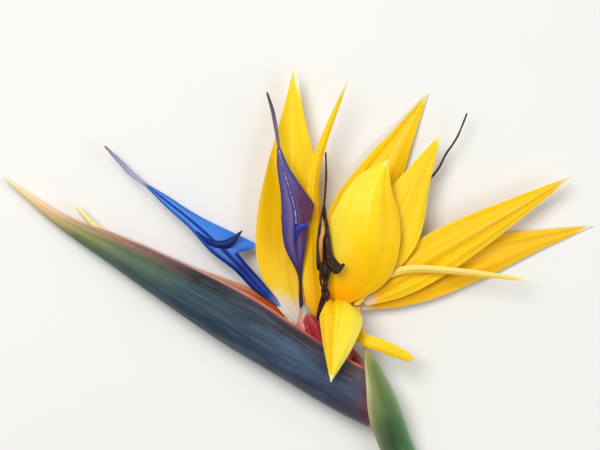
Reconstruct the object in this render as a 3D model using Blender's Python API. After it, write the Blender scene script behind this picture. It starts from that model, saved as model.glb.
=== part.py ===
"""Bird of paradise flower, cut with its stem and laid on its side. Blender 4.5, metres, +Z up.

Lengths below are millimetres in the plane of the flower: X runs from the tip of the spathe
towards the stem side, Y runs up through the fan of sepals, and Z is the height above the
surface that the flower lies on. Everything hangs on one empty, which centres the flower.
"""

import math

import bmesh
import bpy
import numpy as np

MM = 0.001
CENTRE_X, CENTRE_Y = -0.48, -66.25  # middle of the laid flower, which goes to the origin

SEPAL_THICK, SEPAL_EDGE = 0.9, 0.35  # at the midrib and at the margin
SEPAL_STEPS, SEPAL_STRIPS = 14, 4
SPATHE_WALL = 1.3
SPATHE_STEPS, SPATHE_SIDE = 30, 8
SHEATH_WALL = 0.9
SHEATH_STEPS, SHEATH_SIDE = 18, 7
STEM_RADIUS = 5.1

YELLOW = ((1.0, 0.62, 0.01), 0.42)
CREAM = ((0.93, 0.85, 0.50), 0.5)
BLUE = ((0.03, 0.12, 0.55), 0.4)
PURPLE = ((0.16, 0.10, 0.32), 0.45)
LILAC = ((0.55, 0.50, 0.68), 0.5)
DRY_BROWN = ((0.10, 0.04, 0.015), 0.8)
PINK = ((0.72, 0.22, 0.16), 0.5)
SLATE_GREEN = ((0.13, 0.20, 0.20), 0.45)
STEM_GREEN = ((0.20, 0.36, 0.16), 0.5)


def clear_scene():
    for thing in list(bpy.data.objects):
        bpy.data.objects.remove(thing, do_unlink=True)


def material(name, look):
    colour, roughness = look
    made = bpy.data.materials.new(name)
    made.use_nodes = True
    shader = made.node_tree.nodes["Principled BSDF"]
    shader.inputs["Base Color"].default_value = (*colour, 1.0)
    shader.inputs["Roughness"].default_value = roughness
    shader.inputs["Metallic"].default_value = 0.0
    return made


def smooth(values, t):
    """A Catmull-Rom curve through evenly spaced values, read at t from 0 to 1."""
    row = np.asarray(values, float)
    row = np.concatenate([[2 * row[0] - row[1]], row, [2 * row[-1] - row[-2]]])
    place = min(max(t, 0.0), 1.0) * (len(row) - 3)
    first = min(int(place), len(row) - 4)
    f = place - first
    a, b, c, d = row[first : first + 4]
    bend, twist = 2 * a - 5 * b + 4 * c - d, 3 * b - a - 3 * c + d
    return 0.5 * (2 * b + (c - a) * f + bend * f**2 + twist * f**3)


def unit(vector):
    return vector / np.linalg.norm(vector)


def frame_at(route, t):
    """Point, sideways, upward and forward directions on a route; sideways keeps to the plan."""
    reach = 0.02  # share of the route, either way, that gives its direction
    point = smooth(route, t)
    along = unit(smooth(route, min(t + reach, 1.0)) - smooth(route, max(t - reach, 0.0)))
    ends = np.asarray(route[-1], float) - np.asarray(route[0], float)
    across = np.cross(ends, (0.0, 0.0, 1.0))
    side = unit(across - along * across.dot(along))
    return point, side, np.cross(side, along), along


def loft(name, rings, look, holder, layered=True):
    """Skins equal rings of points. A layered ring is one side there and the other side back."""
    bm = bmesh.new()
    loops = [[bm.verts.new(np.asarray(point) * MM) for point in ring] for ring in rings]
    count = len(rings[0])
    for low, high in zip(loops, loops[1:]):
        for i in range(count):
            j = (i + 1) % count
            bm.faces.new((low[i], low[j], high[j], high[i]))
    for loop in (loops[0], loops[-1]):
        if not layered:
            bm.faces.new(loop)
            continue
        for i in range(count // 2 - 1):
            bm.faces.new((loop[i], loop[i + 1], loop[count - 2 - i], loop[count - 1 - i]))
    bmesh.ops.recalc_face_normals(bm, faces=bm.faces[:])
    mesh = bpy.data.meshes.new(name)
    bm.to_mesh(mesh)
    bm.free()
    mesh.shade_smooth()
    mesh.set_sharp_from_angle(angle=math.radians(50))
    made = bpy.data.objects.new(name, mesh)
    made.data.materials.append(material(name + "_surface", look))
    made.parent = holder
    bpy.context.scene.collection.objects.link(made)
    return made


def blade(name, holder, route, half_widths, cup, fold, look=YELLOW, thick=SEPAL_THICK):
    """A sepal or bract: midline route from base to tip, half widths at even steps, cup as the drop
    of the margins below the midrib for each unit of half width, and fold 1 for a sharp keel."""
    rings = []
    for step in range(SEPAL_STEPS + 1):
        t = step / SEPAL_STEPS
        point, side, up, _ = frame_at(route, t)
        half = max(smooth(half_widths, t), 0.25)
        top, under = [], []
        for strip in range(SEPAL_STRIPS + 1):
            a = 2.0 * strip / SEPAL_STRIPS - 1.0
            middle = point + side * half * a - up * smooth(cup, t) * half * abs(a) ** fold
            depth = 0.5 * (thick - (thick - SEPAL_EDGE) * a * a)
            top.append(middle + up * depth)
            under.append(middle - up * depth)
        rings.append(top + under[::-1])
    return loft(name, rings, look, holder)


def stalk(name, holder, route, radii, look, sides=10, steps=16):
    """A round stalk along a route, with its radius at even steps."""
    rings = []
    for step in range(steps + 1):
        t = step / steps
        point, side, up, _ = frame_at(route, t)
        radius = smooth(radii, t)
        turns = [2 * math.pi * k / sides for k in range(sides)]
        rings.append([point + radius * (math.cos(a) * side + math.sin(a) * up) for a in turns])
    return loft(name, rings, look, holder, layered=False)


def arrow(name, holder, route, half_widths, heights, barb, look, steps=26):
    """The two fused petals: a stalk that widens to swept-back barbs and narrows to a point,
    with a groove along the upper side. barb is (place, extra half width, sweep back, drop)."""
    place, flare, sweep, drop = barb
    rings = []
    for step in range(steps + 1):
        t = step / steps
        point, side, up, along = frame_at(route, t)
        near_barb = math.exp(-(((t - place) / 0.028) ** 2))
        half = smooth(half_widths, t)
        high = smooth(heights, t)
        barb_tip = (side * flare - along * sweep - up * drop) * near_barb
        rings.append(
            [
                point + side * half + barb_tip,
                point + side * half * 0.55 + up * high,
                point + up * high * 0.45,
                point - side * half * 0.55 + up * high,
                point - side * half,
                point - side * half * 0.5 - up * high * 0.7,
                point - up * high,
                point + side * half * 0.5 - up * high * 0.7,
            ]
        )
    return loft(name, rings, look, holder, layered=False)


# The spathe: a boat-shaped bract, keel below, slit above, open at the throat and at its base.
# Each list runs from the base to the tip; keel and rim are points in plan.
KEEL = [
    (28.5, -84.8),
    (13.4, -77.3),
    (-8.0, -64.4),
    (-33.0, -49.3),
    (-57.0, -33.0),
    (-81.1, -16.0),
    (-104.0, 0.5),
    (-125.0, 19.4),
]
RIM = [
    (30.5, -61.0),
    (18.7, -55.0),
    (0.0, -43.0),
    (-20.0, -29.9),
    (-45.0, -17.4),
    (-72.0, -5.7),
    (-99.0, 4.6),
    (-124.9, 20.6),
]
HALF_THICK = [8.0, 10.2, 11.4, 11.2, 9.6, 7.0, 3.8, 1.0]
HALF_SLIT = [4.6, 7.4, 8.6, 6.6, 3.2, 2.8, 1.9, 0.6]
FAR_RIM_LIFT = [0.0, 1.0, 2.5, 1.5, 0.0, 0.0, 0.0, 0.0]
LIFT = [2.8, 0.5, 0.05, 0.05, 0.05, 0.6, 2.0, 4.5]  # clear of the surface below
WIDEST = 0.52  # height of the widest place, from keel to rim


def spathe_point(t, v):
    """Outer surface of the spathe: v runs from -1 at the far rim, over the keel, to 1."""
    q = abs(v)
    keel, rim = smooth(KEEL, t), smooth(RIM, t)
    plan = keel + (rim - keel) * (q**1.25)
    if v < 0:
        plan = plan + unit(rim - keel) * smooth(FAR_RIM_LIFT, t) * q**3
    half, slit = smooth(HALF_THICK, t), smooth(HALF_SLIT, t)
    if q < WIDEST:
        bulge = half * (1 - (1 - q / WIDEST) ** 2.2) ** 0.75
    else:
        bulge = half - (half - slit) * ((q - WIDEST) / (1 - WIDEST)) ** 2
    return np.array([plan[0], plan[1], half + smooth(LIFT, t) + math.copysign(bulge, v)])


def spathe(holder):
    rings = []
    for step in range(SPATHE_STEPS + 1):
        t = step / SPATHE_STEPS
        wall = min(SPATHE_WALL, 0.42 * smooth(HALF_SLIT, t), 0.3 * smooth(HALF_THICK, t))
        ahead = spathe_point(min(t + 0.01, 1.0), 0.0) - spathe_point(max(t - 0.01, 0.0), 0.0)
        outer, inner = [], []
        for k in range(-SPATHE_SIDE, SPATHE_SIDE + 1):
            v = k / SPATHE_SIDE
            here = spathe_point(t, v)
            along_wall = spathe_point(t, min(v + 0.04, 1.0)) - spathe_point(t, max(v - 0.04, -1.0))
            inward = unit(np.cross(ahead, along_wall))
            outer.append(here)
            inner.append(here + inward * wall)
        rings.append(outer + inner[::-1])
    return loft("spathe", rings, SLATE_GREEN, holder)


# The sheath: a green bract wrapped round the stem, open towards the spathe, ending in a point.
# Its lists run from the node on the stem to the tip; it opens by an angle each side of the midrib.
SHEATH_ACROSS = unit(np.array([0.925, 0.38]))
SHEATH_MIDRIB = [
    (71.5, -149.0),
    (59.6, -120.6),
    (48.3, -93.5),
    (44.9, -84.4),
    (42.4, -77.3),
    (39.5, -70.4),
    (35.7, -63.0),
    (31.9, -56.7),
    (27.6, -51.0),
]
SHEATH_REACH = [13.2, 13.6, 13.9, 14.1, 14.2, 12.4, 8.8, 5.2, 1.0]
SHEATH_OPEN = [172.0, 170.0, 164.0, 145.0, 124.0, 112.0, 98.0, 84.0, 60.0]
SHEATH_HALF = [6.7, 6.8, 7.3, 9.4, 11.3, 11.5, 10.4, 7.5, 2.0]
SHEATH_HEIGHT = [6.7, 6.8, 7.3, 9.4, 11.3, 11.5, 11.2, 11.2, 11.5]


def sheath(holder):
    rings = []
    for step in range(SHEATH_STEPS + 1):
        t = step / SHEATH_STEPS
        opening = math.radians(smooth(SHEATH_OPEN, t))
        semi = smooth(SHEATH_REACH, t) / (1 - math.cos(opening))
        half = smooth(SHEATH_HALF, t)
        midrib = smooth(SHEATH_MIDRIB, t)
        wall = min(SHEATH_WALL, 0.35 * semi)
        outer, inner = [], []
        for k in range(-SHEATH_SIDE, SHEATH_SIDE + 1):
            angle = opening * k / SHEATH_SIDE
            for points, shrink in ((outer, 0.0), (inner, wall)):
                reach = semi - (semi - shrink) * math.cos(angle)
                plan = midrib - SHEATH_ACROSS * reach
                points.append((plan[0], plan[1], smooth(SHEATH_HEIGHT, t) + (half - shrink) * math.sin(angle)))
        rings.append(outer + inner[::-1])
    return loft("stem_sheath", rings, STEM_GREEN, holder)


def stem(holder):
    """The cut stem, whose head turns into the base of the spathe and carries the flowers."""
    route = [
        (84.0, -197.0, STEM_RADIUS),
        (72.0, -167.5, 6.2),
        (60.0, -138.0, 6.7),
        (48.1, -111.0, 7.0),
        (39.7, -90.0, 8.0),
        (33.5, -78.5, 9.6),
        (22.0, -70.0, 10.4),
    ]
    radii = [STEM_RADIUS] * 6 + [4.4]
    stalk("stem", holder, route, radii, STEM_GREEN, sides=16, steps=24)


def flower_bases(holder):
    """Four stalks inside the spathe, from the head of the stem to the throat."""
    routes = (
        [(21.3, -70.1, 7.1), (10.0, -60.5, 6.2), (-1.5, -48.5, 7.4), (-8.6, -33.4, 8.8)],
        [(20.1, -71.7, 11.9), (9.5, -64.0, 12.4), (1.2, -50.0, 13.0), (1.6, -34.4, 12.4)],
        [(22.5, -68.5, 13.8), (13.5, -59.0, 12.6), (11.8, -45.5, 11.2), (15.4, -31.8, 10.6)],
        [(22.7, -66.6, 9.8), (19.5, -57.5, 9.2), (20.2, -45.0, 9.0), (24.2, -33.6, 9.6)],
    )
    radii = ([1.9, 2.2, 2.2, 1.9], [1.9, 2.4, 2.6, 2.2], [1.9, 2.4, 2.6, 2.4], [1.9, 2.3, 2.5, 2.2])
    for number, (route, radius) in enumerate(zip(routes, radii), 1):
        stalk(f"flower_base_{number}", holder, route, radius, CREAM if number == 1 else PINK)


# Each sepal: midline from base to tip, half widths, cup, and fold (1 sharp, 2 round).
SEPALS = {
    "sepal_a": (
        [(-6.8, -34.2, 5.9), (-5.8, -11.5, 6.2), (-3.8, 14.0, 8.4), (-3.1, 40.0, 9.6), (-2.3, 66.4, 9.0)],
        [2.0, 11.9, 13.9, 10.4, 5.0, 0.3],
        (-0.05, -0.22, -0.25, -0.2),
        2.0,
    ),
    "sepal_b": (
        [(5.9, -35.6, 14.9), (4.6, -20.0, 14.6), (4.0, 0.0, 14.4), (5.9, 25.0, 16.4), (20.3, 61.5, 18.6)],
        [2.0, 3.4, 2.6, 2.1, 1.8, 0.3],
        (0.1, 0.5, 0.5, 0.4),
        1.2,
    ),
    "sepal_c": (
        [(15.0, -33.2, 7.3), (18.9, -9.4, 6.2), (29.4, 13.0, 5.2), (41.6, 34.4, 3.2), (54.2, 55.7, 0.5)],
        [2.0, 9.0, 12.4, 9.4, 4.6, 0.3],
        (0.0, 0.1, 0.1, 0.08),
        2.0,
    ),
    "sepal_d": (
        [(17.0, -31.9, 11.0), (27.0, -12.5, 13.2), (38.5, 2.6, 14.4), (47.0, 19.0, 13.6), (59.2, 38.2, 11.4)],
        [2.0, 10.5, 12.2, 9.6, 4.0, 0.3],
        (0.0, 0.1, 0.12, 0.1),
        2.0,
    ),
    "sepal_e": (
        [(15.4, -33.4, 14.0), (23.4, -16.5, 20.4), (27.3, 0.0, 24.0), (30.2, 14.7, 23.6), (36.3, 27.0, 20.6)],
        [2.4, 14.2, 15.6, 13.0, 8.0, 0.4],
        (0.1, 0.3, 0.32, 0.3),
        2.0,
    ),
    "sepal_f": (
        [(25.8, -32.6, 9.6), (43.3, -21.4, 10.4), (64.0, -8.4, 11.4), (87.4, 5.0, 11.6), (113.8, 20.2, 10.2)],
        [2.0, 7.5, 9.2, 7.8, 4.4, 0.3],
        (0.0, 0.12, 0.16, 0.15),
        2.0,
    ),
    "sepal_g": (
        [(22.9, -34.4, 6.5), (46.2, -26.4, 5.4), (69.3, -16.6, 4.0), (96.6, -7.5, 2.2), (124.0, -0.4, 0.45)],
        [2.0, 6.5, 8.8, 8.0, 4.0, 0.3],
        (0.0, 0.08, 0.1, 0.1),
        2.0,
    ),
    "sepal_h": (
        [(22.9, -33.6, 12.8), (32.6, -23.6, 13.8), (45.4, -18.6, 14.9), (67.2, -19.5, 16.4), (96.0, -23.1, 16.6)],
        [1.4, 1.6, 1.7, 1.6, 1.3, 0.3],
        (0.2, 0.4, 0.5, 0.4),
        1.2,
    ),
    "sepal_i": (
        [(19.2, -36.5, 12.6), (18.8, -32.4, 19.6), (17.8, -37.2, 26.0), (15.6, -50.0, 28.0), (12.8, -65.0, 26.6)],
        [2.0, 5.4, 8.6, 6.2, 0.3],
        (0.1, 0.2, 0.25, 0.3),
        2.0,
    ),
    "sepal_j": (
        [(24.9, -38.4, 11.9), (28.0, -46.2, 17.0), (36.8, -52.0, 19.6), (47.4, -56.2, 18.4)],
        [1.8, 2.6, 2.5, 2.3, 0.3],
        (0.1, 0.3, 0.3),
        1.4,
    ),
}


def arrows(holder):
    """The fused petal pairs of three flowers: one fresh, one fading, one dried up."""
    blue = [
        (-9.2, -32.8, 11.5),
        (-17.2, -26.0, 11.6),
        (-25.6, -17.0, 11.4),
        (-34.5, -8.2, 11.0),
        (-45.0, 1.2, 10.4),
        (-55.0, 9.2, 10.0),
        (-65.0, 17.0, 9.6),
    ]
    widths, heights = [2.1, 2.3, 2.4, 4.2, 2.9, 2.2, 0.6], [1.7, 1.8, 1.9, 2.2, 1.9, 1.5, 0.6]
    arrow("arrow_blue", holder, blue, widths, heights, (0.48, 7.0, 6.0, 3.5), BLUE)
    purple = [
        (0.6, -33.8, 13.0),
        (0.0, -21.0, 15.4),
        (-1.8, -8.0, 18.4),
        (-1.8, 4.0, 19.6),
        (-4.2, 14.4, 19.2),
        (-7.2, 24.0, 18.6),
        (-8.9, 32.5, 18.0),
    ]
    widths, heights = [0.9, 0.9, 3.6, 5.0, 4.2, 2.6, 0.7], [0.8, 0.9, 1.5, 1.8, 1.6, 1.3, 0.6]
    arrow("arrow_purple", holder, purple, widths, heights, (0.60, 2.6, 1.0, 0.5), PURPLE)
    dried = [(8.4, -36.4, 15.7), (10.6, -25.0, 19.4), (10.4, -15.0, 21.6), (9.8, -4.0, 21.8), (10.0, 8.0, 21.2)]
    widths, heights = [0.8, 0.8, 3.0, 2.6, 0.6], [0.5, 0.5, 0.8, 0.8, 0.45]
    arrow("arrow_dried", holder, dried, widths, heights, (0.46, 3.0, 0.5, 0.0), DRY_BROWN)


def styles(holder):
    """The rods that stand out past the arrows, and one left by a flower whose petals are gone."""
    blue = [(-65.4, 17.3, 9.6), (-71.0, 21.8, 9.4), (-76.5, 27.4, 9.2), (-82.2, 33.2, 9.0)]
    stalk("style_blue", holder, blue, [0.55, 1.0, 0.8, 0.35], LILAC, sides=8, steps=8)
    purple = [(-8.95, 32.8, 18.0), (-10.4, 40.0, 18.2), (-12.0, 48.0, 18.4), (-13.8, 55.4, 19.0)]
    stalk("style_purple", holder, purple, [0.5, 0.8, 0.75, 0.4], LILAC, sides=8, steps=8)
    short = [(10.05, 8.35, 21.2), (10.6, 15.0, 21.4), (10.9, 22.0, 21.6), (10.7, 30.2, 21.8)]
    stalk("style_dried_1", holder, short, [0.4, 0.45, 0.4, 0.3], DRY_BROWN, sides=6, steps=6)
    long = [
        (18.6, -30.4, 8.3),
        (34.0, -8.0, 8.8),
        (44.0, 10.0, 9.0),
        (56.5, 21.4, 8.8),
        (61.6, 30.0, 8.6),
        (66.2, 37.0, 8.6),
        (70.4, 47.0, 8.6),
    ]
    stalk("style_dried_2", holder, long, [0.6, 0.6, 0.6, 0.6, 0.5, 0.5, 0.4], DRY_BROWN, sides=6, steps=20)


def inner_bracts(holder):
    """A thin pink bract at the near side of the throat, and a closed bud inside the spathe."""
    scale = [(9.0, -54.0, 17.2), (6.5, -46.0, 17.7), (4.4, -41.0, 17.3), (3.0, -37.2, 16.1)]
    blade("inner_bract", holder, scale, [2.5, 4.2, 3.8, 0.6], (0.3, 0.4, 0.3), 2.0, PINK, 0.7)
    bud = [(-30.0, -36.0, 10.6), (-62.0, -18.0, 8.8), (-84.0, -2.6, 7.0), (-95.0, 8.8, 6.6)]
    blade("bud_tip", holder, bud, [1.4, 1.5, 1.2, 0.3], (0.3, 0.3), 2.0, CREAM, 1.2)


clear_scene()
laid_flower = bpy.data.objects.new("laid_flower", None)
laid_flower.location = (-CENTRE_X * MM, -CENTRE_Y * MM, 0.0)
bpy.context.scene.collection.objects.link(laid_flower)
stem(laid_flower)
sheath(laid_flower)
spathe(laid_flower)
flower_bases(laid_flower)
for sepal, (midline, half_width_steps, cup_steps, keel_fold) in SEPALS.items():
    blade(sepal, laid_flower, midline, half_width_steps, cup_steps, keel_fold)
arrows(laid_flower)
styles(laid_flower)
inner_bracts(laid_flower)
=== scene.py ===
"""Looks of a bird of paradise flower, cut with its stem and laid on its side. Blender 4.5.

Places in the lists below are millimetres in the flower's own plan: X runs from the tip of the
spathe towards the stem, Y up through the fan of sepals, and Z is the height above the surface.
A skin's colours are red, green and blue from 0 to 255, after their place where they blend.
"""

import math
import bmesh
import bpy
import numpy as np
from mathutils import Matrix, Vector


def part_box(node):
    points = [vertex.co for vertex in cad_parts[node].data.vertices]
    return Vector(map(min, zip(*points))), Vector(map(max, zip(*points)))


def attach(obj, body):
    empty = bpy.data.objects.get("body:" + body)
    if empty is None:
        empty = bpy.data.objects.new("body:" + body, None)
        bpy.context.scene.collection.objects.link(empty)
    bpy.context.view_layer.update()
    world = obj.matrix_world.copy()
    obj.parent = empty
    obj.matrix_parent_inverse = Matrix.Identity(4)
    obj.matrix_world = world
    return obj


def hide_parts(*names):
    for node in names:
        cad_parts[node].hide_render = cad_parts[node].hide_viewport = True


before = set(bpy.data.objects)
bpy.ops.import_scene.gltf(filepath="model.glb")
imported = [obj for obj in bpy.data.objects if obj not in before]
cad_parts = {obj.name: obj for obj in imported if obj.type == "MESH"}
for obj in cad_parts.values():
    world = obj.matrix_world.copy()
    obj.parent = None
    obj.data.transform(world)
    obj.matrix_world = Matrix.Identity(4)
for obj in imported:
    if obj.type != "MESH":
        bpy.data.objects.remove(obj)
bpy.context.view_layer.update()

# The surface that the cut flower lies on, a plain pale table in the soft light of a studio, with
# a camera that looks straight down on it. The plan's middle is found from the two ends of the
# flower: the tip of the spathe and the foot of the stem.
MM = 0.001
SPATHE_TIP_X = -125.02
STEM_FOOT_Y = -200.172
PLAN_MIDDLE = np.array(
    [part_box("spathe")[0].x / MM - SPATHE_TIP_X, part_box("stem")[0].y / MM - STEM_FOOT_Y, 0.0]
)
TABLE_HALF = 4.0
CAMERA_HEIGHT = 1.162
SENSOR = 36.0
VIEW_WIDTH = 0.252  # what the camera takes in, at the middle height of the flower
MIDDLE_HEIGHT = 0.012


def paint(red, green, blue):
    """A colour from its 0 to 255 values, as the shaders need it."""
    shares = (red / 255, green / 255, blue / 255)
    return tuple(s / 12.92 if s < 0.04 else ((s + 0.055) / 1.055) ** 2.4 for s in shares) + (1.0,)


def put(tree, kind, sockets=None, **settings):
    """Adds a node. Sockets are given a value, or the output that feeds them."""
    node = tree.nodes.new(kind)
    for setting, value in settings.items():
        setattr(node, setting, value)
    for socket, value in (sockets or {}).items():
        if isinstance(value, bpy.types.NodeSocket):
            tree.links.new(value, node.inputs[socket])
        else:
            node.inputs[socket].default_value = value
    return node


def first(tree, kind, sockets=None, **settings):
    """Adds a node and gives its first output."""
    return put(tree, kind, sockets, **settings).outputs[0]


def add(name, data):
    """A new object in the scene, at the origin."""
    thing = bpy.data.objects.new(name, data)
    bpy.context.scene.collection.objects.link(thing)
    return thing


def open_skin(name, roughness=0.5, shine=0.22, flesh=(0.0, 0.05), wax=(0.0, 0.03)):
    """A new material; returns it, its node tree and its shader. Flesh is how much of the light
    goes into it and how far, in metres. Wax is the weight and roughness of a clear coat."""
    skin = bpy.data.materials.new(name)
    skin.use_nodes = True
    shader = skin.node_tree.nodes["Principled BSDF"]
    shader.inputs["Roughness"].default_value = roughness
    shader.inputs["Specular IOR Level"].default_value = shine
    for layer, distance, values in (("Subsurface", "Scale", flesh), ("Coat", "Roughness", wax)):
        shader.inputs[f"{layer} Weight"].default_value = values[0]
        shader.inputs[f"{layer} {distance}"].default_value = values[1]
    return skin, skin.node_tree, shader


def ramp(tree, value, stops):
    """Blends colours along a value; stops are (place from 0 to 1, red, green, blue)."""
    node = put(tree, "ShaderNodeValToRGB", {0: value})
    bands = node.color_ramp.elements
    bands[0].position, bands[1].position = stops[0][0], stops[-1][0]
    for place, *_ in stops[1:-1]:
        bands.new(place)
    for band, (_, *colour) in zip(bands, stops):
        band.color = paint(*colour)
    return node.outputs[0]


def speckle(tree, vector, scale, detail=4.0, roughness=0.55, distortion=0.0):
    sockets = {"Vector": vector, "Scale": scale, "Detail": detail}
    sockets.update({"Roughness": roughness, "Distortion": distortion})
    return put(tree, "ShaderNodeTexNoise", sockets).outputs["Fac"]


def mottled_skin(name, roughness, stops, *noise):
    """A skin whose colours change only with a noise through the object."""
    skin, tree, shader = open_skin(name, roughness)
    place = put(tree, "ShaderNodeTexCoord").outputs["Object"]
    colour = ramp(tree, speckle(tree, place, *noise), stops)
    tree.links.new(colour, shader.inputs["Base Color"])
    return skin


def soft_light(name, place, size, power, colour):
    """A round lamp aimed at the middle of the flower."""
    lamp = bpy.data.lights.new(name, "AREA")
    lamp.shape = "DISK"
    lamp.size = size
    lamp.energy = power
    lamp.color = colour
    holder = add(name, lamp)
    holder.location = place
    holder.rotation_euler = (-holder.location).to_track_quat("-Z", "Y").to_euler()


table_mesh = bpy.data.meshes.new("table")
corners = [(x * TABLE_HALF, y * TABLE_HALF, 0.0) for x, y in ((-1, -1), (1, -1), (1, 1), (-1, 1))]
table_mesh.from_pydata(corners, [], [(0, 1, 2, 3)])
pale = [(0.0, 236, 235, 232), (1.0, 242, 241, 238)]
table_mesh.materials.append(mottled_skin("pale_table", 0.75, pale, 9.0, 5.0, 0.5))
table = add("table", table_mesh)

studio = bpy.data.worlds.new("studio")
studio.use_nodes = True
sky = studio.node_tree.nodes["Background"]
sky.inputs["Color"].default_value = (0.96, 0.98, 1.0, 1.0)
sky.inputs["Strength"].default_value = 0.36
bpy.context.scene.world = studio
bpy.context.scene.view_settings.view_transform = "Standard"
soft_light("key_light", place=(-0.4, 0.5, 1.25), size=0.8, power=13.4, colour=(1.0, 0.98, 0.95))
soft_light("side_light", place=(0.8, -0.1, 1.0), size=0.7, power=3.6, colour=(0.95, 0.97, 1.0))

overhead = bpy.data.cameras.new("overhead")
overhead.sensor_width = SENSOR
overhead.lens = SENSOR * (CAMERA_HEIGHT - MIDDLE_HEIGHT) / VIEW_WIDTH
camera = add("overhead", overhead)
camera.location = (PLAN_MIDDLE[0] * MM, PLAN_MIDDLE[1] * MM, CAMERA_HEIGHT)
bpy.context.scene.camera = camera

# The stem, a round fleshy green stalk as thick as a finger. It bends at its head into the base
# of the spathe, has fine ribs along it, and ends in the flat, pale face of the cut.
STEM_ROUTE = [
    (84, -197, 5.1), (72, -167.5, 6.2), (60, -138, 6.7), (48.1, -111, 7), (39.7, -90, 8),
    (33.5, -78.5, 9.6), (22, -70, 10.4),
]
STEM_RADII = [5, 5.1, 5.1, 5.1, 5.1, 5.1, 4.4]
SHARP_ANGLE = math.radians(60)
NEAR = 0.02  # share of a route on each side of a place that gives its direction there


def smooth(values, t):
    """A Catmull-Rom curve through evenly spaced values, read at t from 0 to 1."""
    row = np.asarray(values, float)
    row = np.concatenate([[2 * row[0] - row[1]], row, [2 * row[-1] - row[-2]]])
    place = np.clip(t, 0.0, 1.0) * (len(row) - 3)
    n = np.minimum(np.asarray(place, int), len(row) - 4)
    f = place - n
    if row.ndim > 1:
        f = np.asarray(f)[..., None]
    a, b, c, d = (row[n + i] for i in range(4))
    bend, twist = 2 * a - 5 * b + 4 * c - d, 3 * b - a - 3 * c + d
    return 0.5 * (2 * b + (c - a) * f + bend * f**2 + twist * f**3)


def unit(vectors):
    return vectors / np.linalg.norm(vectors, axis=-1, keepdims=True)


def frame_at(route, t):
    """Places, sideways, upward and forward directions on a route; sideways keeps to the plan."""
    route = np.asarray(route, float)
    along = unit(smooth(route, np.minimum(t + NEAR, 1.0)) - smooth(route, np.maximum(t - NEAR, 0.0)))
    across = np.cross(route[-1] - route[0], (0.0, 0.0, 1.0))
    side = unit(across - along * (along @ across)[..., None])
    return smooth(route, t), side, np.cross(side, along), along


def show(name, mesh, skin):
    """An object for a finished mesh, with smooth faces and its skin."""
    mesh.shade_smooth()
    mesh.set_sharp_from_angle(angle=SHARP_ANGLE)
    mesh.materials.append(skin)
    return add(name, mesh)


def grow(piece, rule, sizes):
    """Runs a Geometry Nodes rule on a piece, with sizes by input name, and keeps the plain mesh."""
    step = piece.modifiers.new(rule.name, "NODES")
    step.node_group = rule
    inputs = [item for item in rule.interface.items_tree if item.in_out == "INPUT"]
    sockets = {item.name: item.identifier for item in inputs}
    for size, value in sizes.items():
        step[sockets[size]] = value
    graph = bpy.context.evaluated_depsgraph_get()
    grown = bpy.data.meshes.new_from_object(
        piece.evaluated_get(graph), preserve_all_data_layers=True, depsgraph=graph
    )
    piece.modifiers.remove(step)
    piece.data = grown
    grown.set_sharp_from_angle(angle=SHARP_ANGLE)
    return piece


def open_rule(name, inputs):
    """A new Geometry Nodes rule with geometry in and out, its inputs as (name, kind, default),
    and the skin that its faces wear."""
    rule = bpy.data.node_groups.new(name, "GeometryNodeTree")
    rule.interface.new_socket("Geometry", in_out="INPUT", socket_type="NodeSocketGeometry")
    rule.interface.new_socket("Geometry", in_out="OUTPUT", socket_type="NodeSocketGeometry")
    for label, kind, default in inputs:
        socket = rule.interface.new_socket(label, in_out="INPUT", socket_type="NodeSocket" + kind)
        socket.default_value = default
    rule.interface.new_socket("Skin", in_out="INPUT", socket_type="NodeSocketMaterial")
    return rule, rule.nodes.new("NodeGroupInput").outputs


def close_rule(rule, geometry, skin):
    """Ends a rule in real faces that wear the skin."""
    real = put(rule, "GeometryNodeRealizeInstances", {0: geometry})
    worn = put(rule, "GeometryNodeSetMaterial", {"Geometry": real.outputs[0], "Material": skin})
    put(rule, "NodeGroupOutput", {0: worn.outputs[0]})
    return rule


def calc(tree, operation, one, two=0.0, three=0.0):
    return first(tree, "ShaderNodeMath", {0: one, 1: two, 2: three}, operation=operation)


def times(tree, product, *others):
    for value in others:
        product = calc(tree, "MULTIPLY", product, value)
    return product


def carried(rule, name):
    """A value that the points of a mesh carry, read in a Geometry Nodes rule."""
    return first(rule, "GeometryNodeInputNamedAttribute", {"Name": name}, data_type="FLOAT")


def push_out(rule, body, distance):
    """Moves a surface along its normals."""
    normal = first(rule, "GeometryNodeInputNormal")
    push = first(rule, "ShaderNodeVectorMath", {0: normal, "Scale": distance}, operation="SCALE")
    return first(rule, "GeometryNodeSetPosition", {"Geometry": body, "Offset": push})


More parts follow.
